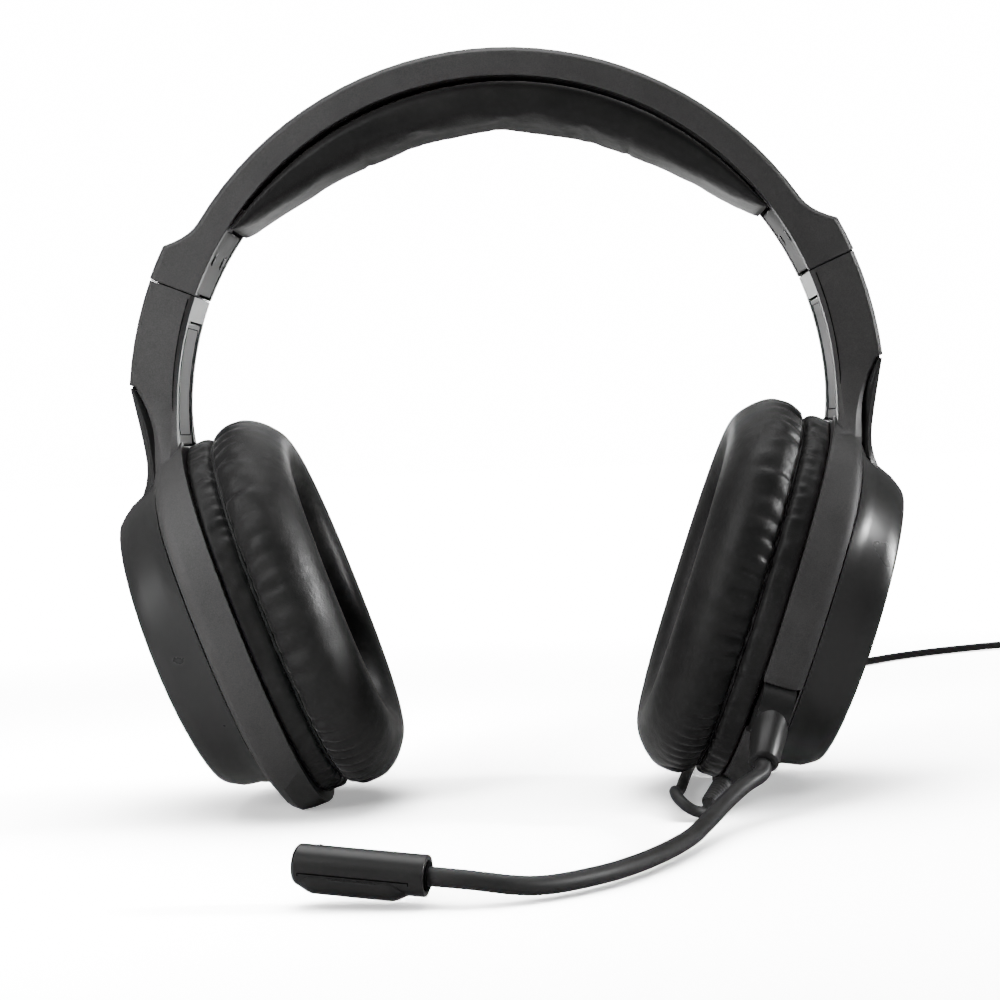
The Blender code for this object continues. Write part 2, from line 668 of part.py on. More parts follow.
def make_microphone():
    """The capsule's shell, its end cap, the microphone inside and the cover of its sound port."""
    start = Vector(MIC_START)
    wall = MIC_RADIUS - 0.0011
    end = MIC_LENGTH
    shell = [(0, end - 0.0012), (wall, end - 0.0012), (wall, 0), (MIC_RADIUS, 0)]
    shell += [(MIC_RADIUS, end - 0.0008), (MIC_RADIUS - 0.0008, end), (0, end)]
    turned("mic_capsule", shell, start, MIC_AXIS, SHELL_BLACK)
    inner = GOOSENECK_RADIUS + GAP
    cap = [(inner, 0.0004), (wall - GAP, 0.0004), (wall - GAP, 0.0016), (inner, 0.0016)]
    turned("mic_end_cap", cap, start, MIC_AXIS, SATIN_BLACK, 20)
    element = [(0, 0.0080), (wall - 0.0004, 0.0080), (wall - 0.0004, 0.0110), (0, 0.0110)]
    turned("mic_element", element, start, MIC_AXIS, STEEL, 20)
    middle = start + MIC_AXIS * 0.0150
    rings = []
    for drop, half_length, half_width in PORT_COVER_ROWS:
        centre = middle - MIC_UP * (MIC_RADIUS + drop)
        rings.append(box_ring(centre, MIC_AXIS, MIC_SIDE, half_length, half_width))
    loft("mic_port_cover", rings, SATIN_BLACK)


# --- volume wheel, board, cable and plug ----------------------------------------------------------
WHEEL_CENTRE = in_cup(0.0838, 0.0, 0.0352)
WHEEL_RADIUS = 0.0068


def wheel_pocket():
    radius = WHEEL_RADIUS + 0.0005
    profile = [(0, -0.0021), (radius, -0.0021), (radius, 0.0021), (0, 0.0021)]
    return turned("pocket", profile, WHEEL_CENTRE, OUTWARD, None)


def make_volume_wheel():
    profile = [(0.0012, -0.0016), (WHEEL_RADIUS - 0.0004, -0.0016), (WHEEL_RADIUS, -0.0010)]
    profile += [(WHEEL_RADIUS, 0.0010), (WHEEL_RADIUS - 0.0004, 0.0016), (0.0012, 0.0016)]
    turned("volume_wheel", profile, WHEEL_CENTRE, OUTWARD, RUBBER, 32)
    shaft = [(0, -0.0020), (0.0009, -0.0020), (0.0009, 0.0020), (0, 0.0020)]
    turned("volume_wheel_shaft", shaft, WHEEL_CENTRE, OUTWARD, STEEL, 12)


def make_circuit_board():
    y_axis = Vector((0.0, 1.0, 0.0))
    rings = [box_ring(in_cup(p, 0.0, 0.0), y_axis, UPWARD, 0.0150, 0.0110) for p in (0.0925, 0.0935)]
    loft("circuit_board", rings, BOARD_GREEN)


def make_cable():
    """The strain relief, the loose cable, its coil and tie, and the jack plug."""
    start = Vector(RELIEF_START)
    run = Vector(RELIEF_END) - start
    length = run.length
    profile = [(0, 0), (0.0025, 0), (0.0025, length * 0.22), (0.0018, length * 0.22)]
    for ring in range(4):
        along = length * (0.30 + 0.18 * ring)
        radius = 0.0024 - 0.0001 * ring
        top = along + length * 0.10
        profile += [(0.0018, along), (radius, along), (radius, top), (0.0018, top)]
    profile += [(0.0018, length), (0, length)]
    turned("strain_relief", profile, start, run, RUBBER, 16)
    route = [Vector(RELIEF_END) + run.normalized() * GAP] + CABLE_ROUTE
    tube("cable", smooth_path(route, 0.0085), CABLE_RADIUS, RUBBER)
    centre = Vector(COIL_CENTRE)
    inner = COIL_RADIUS - COIL_HALF_WIDTH
    outer = COIL_RADIUS + COIL_HALF_WIDTH
    coil = [(inner, 0), (outer, 0), (outer, COIL_HEIGHT), (inner, COIL_HEIGHT)]
    turned("cable_coil", coil, centre, (0, 0, 1), RUBBER, 32)
    middle = centre + Vector((COIL_RADIUS, 0.0, COIL_HEIGHT / 2))
    across = Vector((1.0, 0.0, 0.0))
    up = Vector((0.0, 0.0, 1.0))
    rings = []
    for y, clear in ((-0.0020, 0.0010), (0.0020, 0.0010), (0.0020, GAP), (-0.0020, GAP)):
        place = middle + Vector((0.0, y, 0.0))
        rings.append(box_ring(place, across, up, COIL_HALF_WIDTH + clear, COIL_HEIGHT / 2 + clear))
    loft("cable_tie", rings, RUBBER, closed=True)
    plug = centre + Vector((0.0300, -0.0100, 0.0032))
    body = [(0, 0), (0.0026, 0), (0.0040, 0.0030), (0.0040, 0.0170), (0.0034, 0.0180), (0, 0.0180)]
    turned("jack_plug_body", body, plug, (0, 1, 0), RUBBER, 20)
    pin = [(0, 0), (0.00175, 0), (0.00175, 0.0110), (0.0012, 0.0120)]
    pin += [(0.0016, 0.0128), (0.0008, 0.0140), (0, 0.0140)]
    turned("jack_plug_pin", pin, plug + Vector((0.0, 0.0180 + GAP, 0.0)), (0, 1, 0), GOLD, 16)


def group(name, place, pieces):
    """Hangs pieces from an empty, which stands on the axis that they turn about."""
    empty = bpy.data.objects.new(name, None)
    empty.location = Vector(place) + Vector((0.0, FORWARD_SHIFT, 0.0))
    PARTS.objects.link(empty)
    for piece in pieces:
        piece.parent = empty
        piece.location = -Vector(place)


def group_pieces():
    """Each moving body hangs from its joint's axis."""
    bodies = {"boom": [], "microphone": [], "wheel": [], "cup_left": [], "cup_right": [], "headband": []}
    for piece in [obj for obj in PARTS.objects if obj.type != "EMPTY"]:
        name = piece.name
        if name in ("boom_sleeve", "gooseneck"):
            bodies["boom"].append(piece)
        elif name.startswith("mic_"):
            bodies["microphone"].append(piece)
        elif name == "volume_wheel":
            bodies["wheel"].append(piece)
        elif name.startswith(("slider_cover", "slider_screw", "headband", "crossover")):
            bodies["headband"].append(piece)
        elif "_right" in name:
            bodies["cup_right"].append(piece)
        else:
            bodies["cup_left"].append(piece)
    places = {"boom": PIVOT, "microphone": BOOM_ROUTE[BEND_POINT], "wheel": WHEEL_CENTRE}
    for name, pieces in bodies.items():
        group(f"{name}_axis", places.get(name, ARC_CENTRE), pieces)


make_headband()
for cup_side in ("left", "right"):
    make_arm_frame(cup_side)
    make_slider_rail(cup_side)
    make_arm_cover(cup_side)
    make_cup_cap(cup_side)
    make_cap_plate(cup_side)
    make_driver(cup_side)
    make_pad(cup_side)
make_boom()
make_microphone()
make_volume_wheel()
make_circuit_board()
make_cable()
group_pieces()
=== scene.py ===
import json
import math

import bmesh
import bpy
from mathutils import Matrix, Vector, noise


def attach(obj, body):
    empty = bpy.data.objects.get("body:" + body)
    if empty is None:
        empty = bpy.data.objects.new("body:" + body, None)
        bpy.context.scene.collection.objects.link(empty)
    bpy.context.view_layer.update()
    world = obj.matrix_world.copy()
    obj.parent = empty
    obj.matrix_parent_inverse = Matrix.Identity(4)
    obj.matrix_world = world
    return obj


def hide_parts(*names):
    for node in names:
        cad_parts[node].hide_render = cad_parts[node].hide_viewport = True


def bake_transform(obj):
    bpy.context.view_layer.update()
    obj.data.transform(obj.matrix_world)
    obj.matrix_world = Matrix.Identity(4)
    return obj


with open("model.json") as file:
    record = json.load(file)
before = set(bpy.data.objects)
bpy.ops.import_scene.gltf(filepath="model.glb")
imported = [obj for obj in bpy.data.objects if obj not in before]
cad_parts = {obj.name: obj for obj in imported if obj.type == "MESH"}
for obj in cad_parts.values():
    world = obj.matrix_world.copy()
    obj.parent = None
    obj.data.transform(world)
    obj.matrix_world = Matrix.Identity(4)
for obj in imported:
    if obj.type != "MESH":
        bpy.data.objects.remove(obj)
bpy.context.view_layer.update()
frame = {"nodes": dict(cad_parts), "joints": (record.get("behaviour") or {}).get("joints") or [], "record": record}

# --- the frame's own places ---------------------------------------------------------------------
JOINTS = {joint["name"]: joint for joint in frame["joints"]}
ARC_CENTRE = Vector(JOINTS["slider_left"]["pos_m"])
OUTWARD = Vector(JOINTS["volume_wheel_turn"]["axis"]).normalized()
UPWARD = Vector((-OUTWARD.z, 0.0, OUTWARD.x))
FORWARD_SHIFT = ARC_CENTRE.y

# The CAD's driving dimensions, in metres.
CUP_CENTRE = -0.0254
CUP_HALF_HEIGHT = 0.0501
CUP_HALF_WIDTH = 0.0400
SHELL_PLANE = 0.0788
PAD_SEAM_PLANE = 0.0722
PAD_FACE_PLANE = 0.0545
BAND_INNER = 0.0838
SEAM_ANGLE = 22.8
BAND_HALF_WIDTH = 0.0165
ARM_HALF_WIDTH = 0.0135
GOOSENECK_RADIUS = 0.0020
CABLE_RADIUS = 0.0014

SLEEVE_LENGTH = 0.0190
MIC_RADIUS = 0.0042
MIC_START = Vector((-0.0160, -0.1410, 0.0061))
MIC_LEVEL = Vector((math.cos(math.radians(168.0)), math.sin(math.radians(168.0)), 0.0))
MIC_AXIS = (MIC_LEVEL + Vector((0.0, 0.0, math.tan(math.radians(5.0))))).normalized()
MIC_SIDE = Vector((0.0, 0.0, 1.0)).cross(MIC_LEVEL)
MIC_UP = MIC_AXIS.cross(MIC_SIDE)
BOOM_ROUTE = [
    (0.0530, -0.0570, 0.0092),
    (0.0478, -0.0655, 0.0066),
    (0.0432, -0.0765, 0.0044),
    (0.0375, -0.0930, 0.0032),
    (0.0285, -0.1130, 0.0029),
    (0.0179, -0.1290, 0.0029),
    (0.0050, -0.1395, 0.0032),
]
CABLE_ROUTE = [
    (0.0455, -0.0400, 0.0026),
    (0.0447, -0.0450, 0.0019),
    (0.0430, -0.0492, 0.0020),
    (0.0400, -0.0502, 0.0034),
    (0.0378, -0.0474, 0.0054),
    (0.0374, -0.0415, 0.0060),
    (0.0384, -0.0300, 0.0038),
    (0.0403, -0.0080, 0.0015),
    (0.0440, 0.0250, 0.0015),
    (0.0500, 0.0700, 0.0015),
    (0.0590, 0.1200, 0.0015),
    (0.0740, 0.1800, 0.0015),
    (0.0950, 0.2400, 0.0015),
    (0.1210, 0.2900, 0.0015),
    (0.1530, 0.3250, 0.0015),
    (0.1880, 0.3430, 0.0018),
]
COIL_CENTRE = Vector((0.2300, 0.3245, 0.0012))
COIL_RADIUS = 0.0180
COIL_ROWS = (4, 3, 4, 3)
PLUG_ROUTE = [
    (0.2450, 0.3430, 0.0100),
    (0.2530, 0.3400, 0.0070),
    (0.2595, 0.3350, 0.0048),
    (0.2610, 0.3290, 0.0042),
]


def shifted(point):
    return Vector(point) + Vector((0.0, FORWARD_SHIFT, 0.0))


# --- camera -------------------------------------------------------------------------------------
CAMERA_PLACE = (0.0140, -0.6000, 0.0910)
CAMERA_TURNS = (1.60, 1.41, 2.3)
CAMERA_LENS = 84.24


def make_camera():
    """A long lens a little right of the middle, nearly level, turned slightly to the left and rolled."""
    yaw, pitch, roll = (math.radians(degrees) for degrees in CAMERA_TURNS)
    forward = Vector((-math.sin(yaw) * math.cos(pitch), math.cos(yaw) * math.cos(pitch), -math.sin(pitch)))
    right = forward.cross(Vector((0, 0, 1))).normalized()
    up = right.cross(forward)
    rolled_up = up * math.cos(roll) + right * math.sin(roll)
    rolled_right = right * math.cos(roll) - up * math.sin(roll)
    data = bpy.data.cameras.new("camera")
    data.sensor_width = 36.0
    data.lens = CAMERA_LENS
    data.clip_start = 0.02
    camera = bpy.data.objects.new("camera", data)
    bpy.context.scene.collection.objects.link(camera)
    turn = Matrix((rolled_right, rolled_up, -forward)).transposed()
    camera.matrix_world = Matrix.Translation(shifted(CAMERA_PLACE)) @ turn.to_4x4()
    bpy.context.scene.camera = camera


make_camera()


# --- material building blocks -------------------------------------------------------------------
class Shader:
    """A Principled material with short calls for the nodes it needs."""

    def __init__(self, name, colour, roughness, metallic=0.0):
        self.material = bpy.data.materials.new(name)
        self.material.use_nodes = True
        self.tree = self.material.node_tree
        self.main = self.tree.nodes["Principled BSDF"]
        self.main.inputs["Base Color"].default_value = (*colour, 1.0)
        self.main.inputs["Roughness"].default_value = roughness
        self.main.inputs["Metallic"].default_value = metallic
        self.place = self.node("ShaderNodeTexCoord").outputs["Object"]

    def node(self, kind, **settings):
        made = self.tree.nodes.new(kind)
        for key, value in settings.items():
            setattr(made, key, value)
        return made

    def link(self, source, target):
        self.tree.links.new(source, target)

    def noise(self, scale, detail=3.0, roughness=0.5):
        made = self.node("ShaderNodeTexNoise")
        made.inputs["Scale"].default_value = scale
        made.inputs["Detail"].default_value = detail
        made.inputs["Roughness"].default_value = roughness
        self.link(self.place, made.inputs["Vector"])
        return made.outputs["Fac"]

    def voronoi(self, scale, feature="F1", output="Distance", randomness=1.0):
        made = self.node("ShaderNodeTexVoronoi", feature=feature)
        made.inputs["Scale"].default_value = scale
        made.inputs["Randomness"].default_value = randomness
        self.link(self.place, made.inputs["Vector"])
        return made.outputs[output]

    def wave(self, scale, direction):
        made = self.node("ShaderNodeTexWave", bands_direction=direction)
        made.inputs["Scale"].default_value = scale
        self.link(self.place, made.inputs["Vector"])
        return made.outputs["Fac"]

    def span(self, value, low, high, from_low=0.0, from_high=1.0):
        made = self.node("ShaderNodeMapRange")
        made.inputs["From Min"].default_value = from_low
        made.inputs["From Max"].default_value = from_high
        made.inputs["To Min"].default_value = low
        made.inputs["To Max"].default_value = high
        self.link(value, made.inputs["Value"])
        return made.outputs["Result"]

    def math(self, operation, first, second):
        made = self.node("ShaderNodeMath", operation=operation)
        for socket, value in zip(made.inputs, (first, second)):
            if isinstance(value, (int, float)):
                socket.default_value = value
            else:
                self.link(value, socket)
        return made.outputs["Value"]

    def colour(self, value, dark, light):
        made = self.node("ShaderNodeMix", data_type="RGBA")
        made.inputs["A"].default_value = (*dark, 1.0)
        made.inputs["B"].default_value = (*light, 1.0)
        self.link(value, made.inputs["Factor"])
        self.link(made.outputs["Result"], self.main.inputs["Base Color"])

    def rough(self, value):
        self.link(value, self.main.inputs["Roughness"])

    def bump(self, height, strength, distance):
        made = self.node("ShaderNodeBump")
        made.inputs["Strength"].default_value = strength
        made.inputs["Distance"].default_value = distance
        self.link(height, made.inputs["Height"])
        if self.main.inputs["Normal"].is_linked:
            self.link(self.main.inputs["Normal"].links[0].from_socket, made.inputs["Normal"])
        self.link(made.outputs["Normal"], self.main.inputs["Normal"])

    def edge_wear(self, amount):
        """How much smoother the plastic is along its edges, where handling polishes it."""
        bevel = self.node("ShaderNodeBevel", samples=4)
        bevel.inputs["Radius"].default_value = 0.0006
        geometry = self.node("ShaderNodeNewGeometry")
        dot = self.node("ShaderNodeVectorMath", operation="DOT_PRODUCT")
        self.link(bevel.outputs["Normal"], dot.inputs[0])
        self.link(geometry.outputs["Normal"], dot.inputs[1])
        return self.span(dot.outputs["Value"], amount, 0.0, 0.90, 1.0)


def dark_groove(name):
    """The unlit depth of a hole or a parting line."""
    made = Shader(name, (0.002, 0.002, 0.002), 0.9)
    made.colour(made.noise(900.0), (0.0015, 0.0015, 0.0015), (0.003, 0.003, 0.003))
    made.main.inputs["Specular IOR Level"].default_value = 0.1
    return made.material


def moulded_plastic(name, dark, light, roughness, grain):
    """Spark-textured moulding: fine speckle, faint clouding, and edges rubbed a little smoother."""
    made = Shader(name, dark, roughness)
    clouds = made.noise(90.0, 4.0)
    speckle = made.noise(3800.0, 2.0, 0.6)
    mixed = made.math("MULTIPLY_ADD", clouds, 0.45)
    mixed.node.inputs[2].default_value = 0.0
    made.link(made.span(speckle, 0.0, 0.6, 0.35, 0.70), mixed.node.inputs[2])
    made.colour(mixed, dark, light)
    base = made.span(clouds, roughness - 0.05, roughness + 0.06, 0.3, 0.7)
    made.rough(made.math("SUBTRACT", base, made.edge_wear(0.10)))
    made.bump(speckle, grain, 0.00006)
    return made.material


def satin_plastic(name, dark, light, roughness):
    made = Shader(name, dark, roughness)
    clouds = made.noise(60.0, 5.0)
    fine = made.noise(5200.0, 1.0)
    made.colour(clouds, dark, light)
    base = made.span(clouds, roughness - 0.03, roughness + 0.05, 0.3, 0.7)
    made.rough(made.math("SUBTRACT", base, made.edge_wear(0.08)))
    made.bump(fine, 0.10, 0.00003)
    return made.material


def leatherette(name, dark, light):
    """Pebbled leatherette: small cells with soft valleys, broad creases and a worn sheen."""
    made = Shader(name, dark, 0.42)
    made.main.inputs["Specular IOR Level"].default_value = 0.36
    cells = made.voronoi(1500.0, "DISTANCE_TO_EDGE")
    clouds = made.noise(140.0, 4.0)
    creases = made.noise(420.0, 3.0, 0.6)
    made.colour(clouds, dark, light)
    made.rough(made.span(clouds, 0.34, 0.50, 0.3, 0.7))
    made.bump(made.span(cells, 0.0, 1.0, 0.0, 0.09), 0.22, 0.00006)
    made.bump(creases, 0.38, 0.00030)
    made.main.inputs["Sheen Weight"].default_value = 0.12
    made.main.inputs["Sheen Roughness"].default_value = 0.4
    return made.material


def rubber(name, dark, light, roughness=0.55):
    made = Shader(name, dark, roughness)
    clouds = made.noise(200.0, 3.0)
    fine = made.noise(4200.0, 2.0)
    made.colour(clouds, dark, light)
    made.rough(made.span(clouds, roughness - 0.06, roughness + 0.06, 0.3, 0.7))
    made.bump(fine, 0.20, 0.00005)
    return made.material


def brushed_metal(name, dark, light, roughness, direction="Y"):
    made = Shader(name, dark, roughness, 1.0)
    lines = made.wave(900.0, direction)
    clouds = made.noise(500.0, 3.0)
    made.colour(made.math("MULTIPLY", lines, clouds), dark, light)
    made.rough(made.span(clouds, roughness - 0.08, roughness + 0.10, 0.3, 0.7))
    made.bump(lines, 0.08, 0.00002)
    return made.material


def woven_mesh(name, dark, light):
    """Fine acoustic cloth: dark round holes between paler threads."""
    made = Shader(name, dark, 0.85)
    cells = made.voronoi(1300.0, "F1", randomness=0.12)
    made.colour(made.span(cells, 0.0, 1.0, 0.15, 0.45), dark, light)
    made.rough(made.span(cells, 0.95, 0.70, 0.0, 0.6))
    made.bump(cells, 0.6, 0.00012)
    made.main.inputs["Sheen Weight"].default_value = 0.2
    return made.material


def circuit_green(name):
    made = Shader(name, (0.008, 0.07, 0.03), 0.4)
    tracks = made.wave(260.0, "X")
    made.colour(made.span(tracks, 0.0, 1.0, 0.4, 0.6), (0.006, 0.06, 0.025), (0.012, 0.11, 0.05))
    made.bump(tracks, 0.2, 0.00003)
    return made.material


LOOKS = {
    "shell_black": moulded_plastic(
        "shell_plastic", (0.020, 0.020, 0.0205), (0.050, 0.049, 0.049), 0.50, 0.35
    ),
    "satin_black": satin_plastic("satin_plastic", (0.014, 0.014, 0.0145), (0.024, 0.024, 0.024), 0.30),
    "leatherette": leatherette("pad_leatherette", (0.0065, 0.0065, 0.0068), (0.0130, 0.0127, 0.0127)),
    "steel": brushed_metal("brushed_steel", (0.38, 0.38, 0.40), (0.62, 0.62, 0.64), 0.34),
    "mesh_black": woven_mesh("acoustic_mesh", (0.003, 0.003, 0.003), (0.030, 0.030, 0.030)),
    "rubber": rubber("cable_rubber", (0.010, 0.010, 0.0105), (0.020, 0.020, 0.020)),
    "board_green": circuit_green("circuit_board_coat"),
    "contact_gold": brushed_metal("contact_plating", (0.70, 0.50, 0.20), (0.90, 0.70, 0.34), 0.25, "X"),
}
BOOM_LOOK = satin_plastic("boom_plastic", (0.0075, 0.0075, 0.0078), (0.014, 0.014, 0.014), 0.36)
GROOVE = dark_groove("dark_groove")


# --- building blocks for pieces -----------------------------------------------------------------
def finish_piece(obj, material, body, slot_name, *stands_for):
    obj.data.materials.clear()
    obj.data.materials.append(material)
    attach(obj, body)
    if stands_for:
        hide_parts(*stands_for)


def object_from(name, bm, smooth=True):
    bmesh.ops.recalc_face_normals(bm, faces=bm.faces)
    for face in bm.faces:
        face.smooth = smooth
    mesh = bpy.data.meshes.new(name)
    bm.to_mesh(mesh)
    bm.free()
    obj = bpy.data.objects.new(name, mesh)
    bpy.context.scene.collection.objects.link(obj)
    return obj


def loft(name, rings, closed=False):
    """A surface through rings of equal count, capped or closed round on itself."""
    bm = bmesh.new()
    loops = [[bm.verts.new(point) for point in ring] for ring in rings]
    pairs = list(zip(loops, loops[1:]))
    if closed:
        pairs.append((loops[-1], loops[0]))
    for first, second in pairs:
        for index in range(len(first)):
            after = (index + 1) % len(first)
            bm.faces.new((first[index], first[after], second[after], second[index]))
    if not closed:
        bm.faces.new(loops[0])
        bm.faces.new(loops[-1])
    return object_from(name, bm)


def spline_values(rows, count):
    """Reads rows of numbers at an even spacing from a closed Catmull-Rom curve."""
    size = len(rows)
    result = []
    for step in range(count):
        place = step * size / count
        index = int(place)
        t = place - index
        p0, p1, p2, p3 = (rows[(index + k) % size] for k in (-1, 0, 1, 2))
        result.append(
            [
                0.5
                * (
                    2 * b
                    + (c - a) * t
                    + (2 * a - 5 * b + 4 * c - d) * t * t
                    + (3 * b - a - 3 * c + d) * t**3
                )
                for a, b, c, d in zip(p0, p1, p2, p3)
            ]
        )
    return result


def smooth_path(points, spacing):
    """Points read at an even spacing from a Catmull-Rom curve through the route's own points."""
    route = [Vector(p) for p in points]
    ends = [route[0] * 2 - route[1]] + route + [route[-1] * 2 - route[-2]]
    dense = []
    for index in range(1, len(ends) - 2):
        p0, p1, p2, p3 = ends[index - 1 : index + 3]
        for step in range(20):
            t = step / 20
            dense.append(
                0.5
                * (
                    2 * p1
                    + (p2 - p0) * t
                    + (2 * p0 - 5 * p1 + 4 * p2 - p3) * t * t
                    + (3 * p1 - p0 - 3 * p2 + p3) * t**3
                )
            )
    dense.append(route[-1])
    length = sum((b - a).length for a, b in zip(dense, dense[1:]))
    count = max(2, round(length / spacing))
    wanted = [length * index / count for index in range(count + 1)]
    result = []
    travelled = 0.0
    for a, b in zip(dense, dense[1:]):
        reach = (b - a).length
        while wanted and wanted[0] <= travelled + reach + 1e-9:
            result.append(a.lerp(b, min(1.0, (wanted[0] - travelled) / max(reach, 1e-9))))
            wanted.pop(0)
        travelled += reach
    return result


def curve_tube(name, points, radius, sides=4):
    curve = bpy.data.curves.new(name, "CURVE")
    curve.dimensions = "3D"
    curve.bevel_depth = radius
    curve.bevel_resolution = sides
    curve.use_fill_caps = True
    spline = curve.splines.new("POLY")
    spline.points.add(len(points) - 1)
    for place, point in zip(spline.points, points):
        place.co = (*point, 1.0)
    spline.use_smooth = True
    obj = bpy.data.objects.new(name, curve)
    bpy.context.scene.collection.objects.link(obj)
    return obj


# --- cable --------------------------------------------------------------------------------------
def coil_points():
    """The turns of the coil, stacked in rows that sit in each other's grooves."""
    pitch = 2 * CABLE_RADIUS + 0.0001
    places = []
    for row, columns in enumerate(COIL_ROWS):
        order = reversed(range(columns)) if row % 2 else range(columns)
        for column in order:
            across = COIL_RADIUS + (column - (columns - 1) / 2) * pitch
            places.append((across, CABLE_RADIUS + row * pitch * 0.85))
    points = []
    steps = 24
    for turn, (across, height) in enumerate(places):
        after = places[min(turn + 1, len(places) - 1)]
        stop = steps if turn < len(places) - 1 else 3
        for step in range(stop):
            share = step / steps
            ease = max(0.0, (share - 0.75) / 0.25)
            ease = ease * ease * (3 - 2 * ease)
            radius = across + (after[0] - across) * ease
            angle = math.radians(100) - 2 * math.pi * share
            rise = height + (after[1] - height) * ease
            offset = Vector((radius * math.cos(angle), radius * math.sin(angle), rise))
            points.append(COIL_CENTRE + offset)
    return points


def make_cable():
    """One length from the strain relief to the plug: the loose run, the coil and the lead to the plug."""
    bend = smooth_path(CABLE_ROUTE[:8], 0.0032)
    run = bend + smooth_path(CABLE_ROUTE[7:], 0.0230)[1:]
    coil = coil_points()
    entry = smooth_path([run[-1], Vector((0.2120, 0.3472, 0.0022)), coil[0]], 0.0120)
    lead = smooth_path([coil[-1]] + [Vector(p) for p in PLUG_ROUTE], 0.0060)
    points = [shifted(p) for p in run + entry[1:-1] + coil + lead[1:]]
    cable = curve_tube("cable_line", points, CABLE_RADIUS)
    cable.data.splines.clear()
    spline = cable.data.splines.new("BEZIER")
    spline.bezier_points.add(len(points) - 1)
    for place, point in zip(spline.bezier_points, points):
        place.co = point
        place.handle_left_type = "AUTO"
        place.handle_right_type = "AUTO"
    cable.data.resolution_u = 5
    finish_piece(cable, LOOKS["rubber"], "cup_left", "rubber", "cable", "cable_coil")


# --- gooseneck ----------------------------------------------------------------------------------
def make_gooseneck():
    """The flexible boom, with the fine rings of its wound core showing through the sleeve."""
    direction = (-UPWARD * 0.79 + Vector((0.0, -1.0, 0.0))).normalized()
    pivot = Vector(JOINTS["boom_pivot"]["pos_m"])
    tip = pivot + direction * (SLEEVE_LENGTH - 0.0004)
    start = shifted(MIC_START)
    route = [tip, tip + direction * 0.0036] + [shifted(p) for p in BOOM_ROUTE]
    route += [start - MIC_AXIS * 0.0080, start + MIC_AXIS * 0.0022]
    points = smooth_path(route, 0.0007)
    bm = bmesh.new()
    sides = 20
    loops = []
    reference = Vector((0, 0, 1))
    for index, point in enumerate(points):
        ahead = points[min(index + 1, len(points) - 1)] - points[max(index - 1, 0)]
        ahead.normalize()
        first = ahead.cross(reference).normalized()
        second = first.cross(ahead)
        radius = GOOSENECK_RADIUS - (0.00007 if index % 2 else 0.0)
        loop = []
        for side in range(sides):
            angle = 2 * math.pi * side / sides
            loop.append(bm.verts.new(point + (first * math.cos(angle) + second * math.sin(angle)) * radius))
        loops.append(loop)
    for one, two in zip(loops, loops[1:]):
        for side in range(sides):
            after = (side + 1) % sides
            bm.faces.new((one[side], one[after], two[after], two[side]))
    bm.faces.new(loops[0])
    bm.faces.new(loops[-1])
    neck = object_from("gooseneck_tube", bm)
    neck.data.materials.append(LOOKS["rubber"])
    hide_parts("gooseneck")
    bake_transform(neck)


# --- ear pads and head cushion ------------------------------------------------------------------
def in_cup(side, plane, up, y):
    point = ARC_CENTRE + OUTWARD * plane + UPWARD * (CUP_CENTRE + up) + Vector((0.0, y, 0.0))
    return Vector((point.x * side, point.y, point.z))


def oval_point(angle, half_height, half_width, power=2.3):
    c = math.cos(angle)
    s = math.sin(angle)
    up = half_height * math.copysign(abs(c) ** (2 / power), c)
    return up, half_width * math.copysign(abs(s) ** (2 / power), s)


def gather(angle, seed, count):
    """Puckers of uneven spacing and depth: rounded folds between sharp pinches, from about -1 to 0.4."""
    drift = noise.noise(Vector((math.cos(angle) * 1.7, math.sin(angle) * 1.7, seed)))
    depth = 0.65 + 0.5 * noise.noise(Vector((math.cos(angle) * 5.0, math.sin(angle) * 5.0, seed + 9.0)))
    return depth * (abs(math.sin(angle * count / 2 + drift * 8.0)) ** 0.7 - 0.75)


STUFFING_PRESSURE = 4.0
STUFFING_FRAMES = 20
LARGEST_SWELL = 0.0012


def stuffed(rings, held, closed_rings):
    """How far stuffing pressure moves each point of a coarse grid of a soft skin, by a cloth simulation.

    held says which rows of the grid are stitched down. The answer has a displacement for each point."""
    bm = bmesh.new()
    loops = [[bm.verts.new(point) for point in ring] for ring in rings]
    pairs = list(zip(loops, loops[1:]))
    if closed_rings:
        pairs.append((loops[-1], loops[0]))
    for first, second in pairs:
        for index in range(len(first)):
            after = (index + 1) % len(first)
            bm.faces.new((first[index], first[after], second[after], second[index]))
    if not closed_rings:
        bm.faces.new(loops[0])
        bm.faces.new(loops[-1])
    skin = object_from("skin", bm)
    width = len(rings[0])
    group = skin.vertex_groups.new(name="stitched")
    for row, is_held in enumerate(held):
        if is_held:
            group.add(list(range(row * width, (row + 1) * width)), 1.0, "REPLACE")
    cloth = skin.modifiers.new("stuffing", "CLOTH")
    cloth.settings.use_pressure = True
    cloth.settings.uniform_pressure_force = STUFFING_PRESSURE
    cloth.settings.vertex_group_mass = "stitched"
    cloth.settings.tension_stiffness = 20.0
    cloth.settings.compression_stiffness = 8.0
    cloth.settings.bending_stiffness = 0.6
    cloth.settings.quality = 6
    cloth.settings.effector_weights.gravity = 0.0
    cloth.point_cache.frame_end = STUFFING_FRAMES
    for frame_number in range(1, STUFFING_FRAMES + 1):
        bpy.context.scene.frame_set(frame_number)
    graph = bpy.context.evaluated_depsgraph_get()
    moved = skin.evaluated_get(graph).to_mesh()
    result = []
    for row in range(len(rings)):
        line = []
        for column in range(width):
            change = moved.vertices[row * width + column].co - rings[row][column]
            if change.length > LARGEST_SWELL:
                change *= LARGEST_SWELL / change.length
            line.append(change)
        result.append(line)
    bpy.data.objects.remove(skin)
    bpy.context.scene.frame_set(1)
    return result


